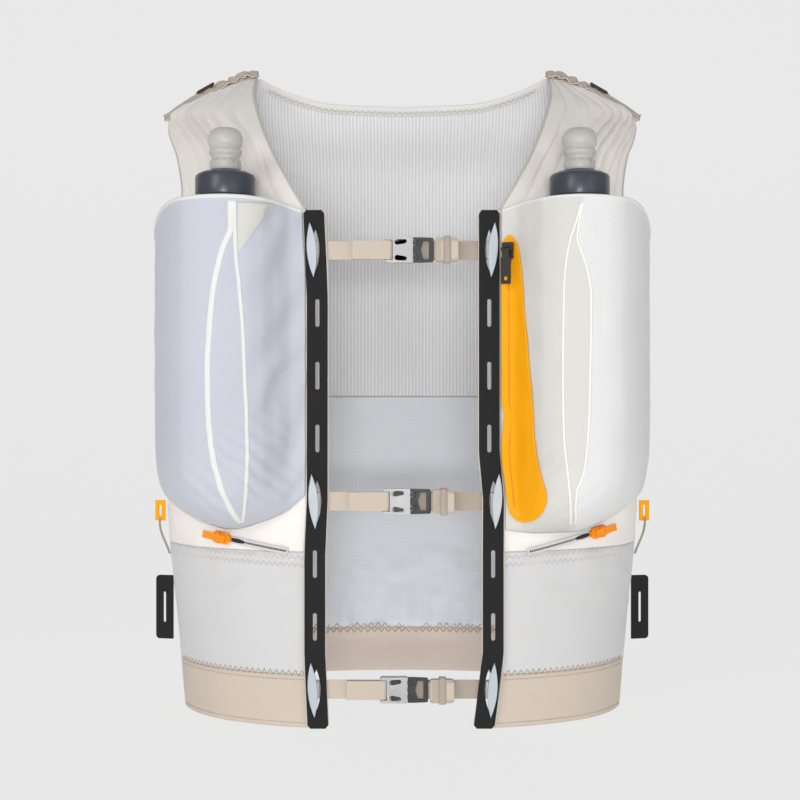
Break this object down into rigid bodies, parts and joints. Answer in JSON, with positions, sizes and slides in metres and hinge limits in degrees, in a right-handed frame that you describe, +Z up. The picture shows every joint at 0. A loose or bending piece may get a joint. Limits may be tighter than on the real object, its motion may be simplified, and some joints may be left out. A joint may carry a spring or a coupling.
{
  "type": "hydration pack",
  "caption": "Sleeveless running pack with soft flasks in front pockets, slotted front rails joined by buckled straps, hip zips and a back compartment.",
  "frame": {"origin": "middle of the box round the whole vest, at the hem's lower edge", "axes": "+Z up, +X to the wearer's left, which is the viewer's right from the front, and the front faces -Y"},
  "size_m": [0.3896, 0.2935, 0.5096],
  "materials": {
    "off_white_ripstop": "ripstop, soft sheen",
    "hip_stretch": "smooth stretch knit, matte",
    "back_mesh": "ribbed mesh, matte",
    "blue_grey_ripstop": "ripstop, matte",
    "lavender_mesh": "stretch mesh, matte",
    "beige_webbing": "woven band, matte",
    "black_tape": "dense woven tape, matte",
    "orange_film": "bonded film, matte",
    "white_binding": "elastic binding, matte",
    "black_plastic": "satin",
    "navy_plastic": "satin",
    "clear_grey_plastic": "translucent",
    "soft_clear": "translucent, soft",
    "orange_plastic": "satin"
  },
  "bodies": {
    "vest": {"left_chest_panel": "off_white_ripstop", "right_chest_panel": "off_white_ripstop", "left_hip_panel": "hip_stretch", "right_hip_panel": "hip_stretch", "left_hem": "beige_webbing", "right_hem": "beige_webbing", "left_side_panel": "back_mesh", "right_side_panel": "back_mesh", "back_hem": "beige_webbing", "lower_back_panel": "blue_grey_ripstop", "back_panel": "back_mesh", "neck_binding": "white_binding", "left_rail": "black_tape", "right_rail": "black_tape", "left_flask_pocket": "lavender_mesh", "right_flask_pocket": "off_white_ripstop", "zip_panel": "orange_film", "hip_zips": "white_binding", "upper_strap_left": "beige_webbing", "middle_strap_left": "beige_webbing", "lower_strap_left": "beige_webbing", "upper_buckle_female": "clear_grey_plastic", "middle_buckle_female": "clear_grey_plastic", "lower_buckle_female": "clear_grey_plastic", "upper_strap_right": "beige_webbing", "middle_strap_right": "beige_webbing", "lower_strap_right": "beige_webbing", "strap_anchors": "clear_grey_plastic", "shoulder_webbing": "beige_webbing", "pole_loops": "black_tape", "pull_tabs": "orange_film", "back_compartment": "off_white_ripstop", "back_zip": "white_binding"},
    "upper_plug": {"upper_buckle_male": "black_plastic", "upper_strap_tail": "beige_webbing"},
    "upper_prong_top_body": {"upper_prong_top": "black_plastic"},
    "upper_prong_bottom_body": {"upper_prong_bottom": "black_plastic"},
    "middle_plug": {"middle_buckle_male": "black_plastic", "middle_strap_tail": "beige_webbing"},
    "middle_prong_top_body": {"middle_prong_top": "black_plastic"},
    "middle_prong_bottom_body": {"middle_prong_bottom": "black_plastic"},
    "lower_plug": {"lower_buckle_male": "black_plastic", "lower_strap_tail": "beige_webbing"},
    "lower_prong_top_body": {"lower_prong_top": "black_plastic"},
    "lower_prong_bottom_body": {"lower_prong_bottom": "black_plastic"},
    "left_flask_body": {"left_flask": "soft_clear", "left_flask_collar": "soft_clear"},
    "left_cap_body": {"left_cap": "navy_plastic"},
    "left_valve_body": {"left_bite_valve": "soft_clear"},
    "right_flask_body": {"right_flask": "soft_clear", "right_flask_collar": "soft_clear"},
    "right_cap_body": {"right_cap": "navy_plastic"},
    "right_valve_body": {"right_bite_valve": "soft_clear"},
    "chest_zip_body": {"zip_slider": "black_plastic"},
    "chest_pull_body": {"zip_pull": "black_plastic"},
    "left_hip_zip_body": {"left_hip_slider": "orange_plastic"},
    "right_hip_zip_body": {"right_hip_slider": "orange_plastic"},
    "back_zip_body": {"back_zip_slider": "orange_plastic"},
    "left_lock_body": {"left_ladder_lock": "black_plastic"},
    "right_lock_body": {"right_ladder_lock": "black_plastic"}
  },
  "joints": [
    {"name": "upper_buckle_release", "type": "slide", "parent": "vest", "child": "upper_plug", "axis": [1, 0, 0], "range_m": [0, 0.016]},
    {"name": "upper_squeeze_top", "type": "hinge", "parent": "upper_plug", "child": "upper_prong_top_body", "pos_m": [0.0101, -0.11465, 0.3501], "axis": [0, -1, 0], "range_deg": [0, 6], "stiffness_Nm_per_rad": 0.05},
    {"name": "upper_squeeze_bottom", "type": "hinge", "parent": "upper_plug", "child": "upper_prong_bottom_body", "pos_m": [0.0101, -0.11465, 0.3401], "axis": [0, 1, 0], "range_deg": [0, 6], "stiffness_Nm_per_rad": 0.05},
    {"name": "middle_buckle_release", "type": "slide", "parent": "vest", "child": "middle_plug", "axis": [1, 0, 0], "range_m": [0, 0.016]},
    {"name": "middle_squeeze_top", "type": "hinge", "parent": "middle_plug", "child": "middle_prong_top_body", "pos_m": [0.0081, -0.11465, 0.1689], "axis": [0, -1, 0], "range_deg": [0, 6], "stiffness_Nm_per_rad": 0.05},
    {"name": "middle_squeeze_bottom", "type": "hinge", "parent": "middle_plug", "child": "middle_prong_bottom_body", "pos_m": [0.0081, -0.11465, 0.1589], "axis": [0, 1, 0], "range_deg": [0, 6], "stiffness_Nm_per_rad": 0.05},
    {"name": "lower_buckle_release", "type": "slide", "parent": "vest", "child": "lower_plug", "axis": [1, 0, 0], "range_m": [0, 0.016]},
    {"name": "lower_squeeze_top", "type": "hinge", "parent": "lower_plug", "child": "lower_prong_top_body", "pos_m": [0.0061, -0.11465, 0.033], "axis": [0, -1, 0], "range_deg": [0, 6], "stiffness_Nm_per_rad": 0.05},
    {"name": "lower_squeeze_bottom", "type": "hinge", "parent": "lower_plug", "child": "lower_prong_bottom_body", "pos_m": [0.0061, -0.11465, 0.023], "axis": [0, 1, 0], "range_deg": [0, 6], "stiffness_Nm_per_rad": 0.05},
    {"name": "left_flask_lift", "type": "slide", "parent": "vest", "child": "left_flask_body", "axis": [0, 0, 1], "range_m": [0, 0.2]},
    {"name": "left_cap_turn", "type": "hinge", "parent": "left_flask_body", "child": "left_cap_body", "pos_m": [-0.127, -0.121, 0.39], "axis": [0, 0, 1], "continuous": true},
    {"name": "left_valve_pull", "type": "slide", "parent": "left_cap_body", "child": "left_valve_body", "axis": [0, 0, 1], "range_m": [0, 0.004]},
    {"name": "right_flask_lift", "type": "slide", "parent": "vest", "child": "right_flask_body", "axis": [0, 0, 1], "range_m": [0, 0.2]},
    {"name": "right_cap_turn", "type": "hinge", "parent": "right_flask_body", "child": "right_cap_body", "pos_m": [0.127, -0.121, 0.39], "axis": [0, 0, 1], "continuous": true},
    {"name": "right_valve_pull", "type": "slide", "parent": "right_cap_body", "child": "right_valve_body", "axis": [0, 0, 1], "range_m": [0, 0.004]},
    {"name": "chest_zip_slide", "type": "slide", "parent": "vest", "child": "chest_zip_body", "axis": [0, 0, -1], "range_m": [0, 0.178]},
    {"name": "chest_pull_swing", "type": "hinge", "parent": "chest_zip_body", "child": "chest_pull_body", "pos_m": [0.07413, -0.1245, 0.3449], "axis": [-0.9272, 0.3746, 0], "range_deg": [0, 150]},
    {"name": "left_hip_zip_slide", "type": "hinge", "parent": "vest", "child": "left_hip_zip_body", "pos_m": [-0.04782, 0.05231, 0.132], "axis": [0.145, -0.0586, 0.9877], "range_deg": [0, 16]},
    {"name": "right_hip_zip_slide", "type": "hinge", "parent": "vest", "child": "right_hip_zip_body", "pos_m": [0.04664, 0.05051, 0.134], "axis": [0.1853, 0.0944, -0.9781], "range_deg": [0, 19]},
    {"name": "back_zip_slide", "type": "hinge", "parent": "vest", "child": "back_zip_body", "pos_m": [0, -0.08514, 0.34], "axis": [0, 0, -1], "range_deg": [0, 24]},
    {"name": "left_lock_tilt", "type": "hinge", "parent": "vest", "child": "left_lock_body", "pos_m": [-0.15745, 0.04238, 0.49699], "axis": [-0.2419, 0.9703, 0], "range_deg": [0, 35]},
    {"name": "right_lock_tilt", "type": "hinge", "parent": "vest", "child": "right_lock_body", "pos_m": [0.15745, 0.04238, 0.49699], "axis": [-0.2419, -0.9703, 0], "range_deg": [0, 35]}
  ],
  "couplings": [
    {"joint": "upper_squeeze_bottom", "follows": "upper_squeeze_top", "ratio": 1},
    {"joint": "middle_squeeze_bottom", "follows": "middle_squeeze_top", "ratio": 1},
    {"joint": "lower_squeeze_bottom", "follows": "lower_squeeze_top", "ratio": 1}
  ]
}
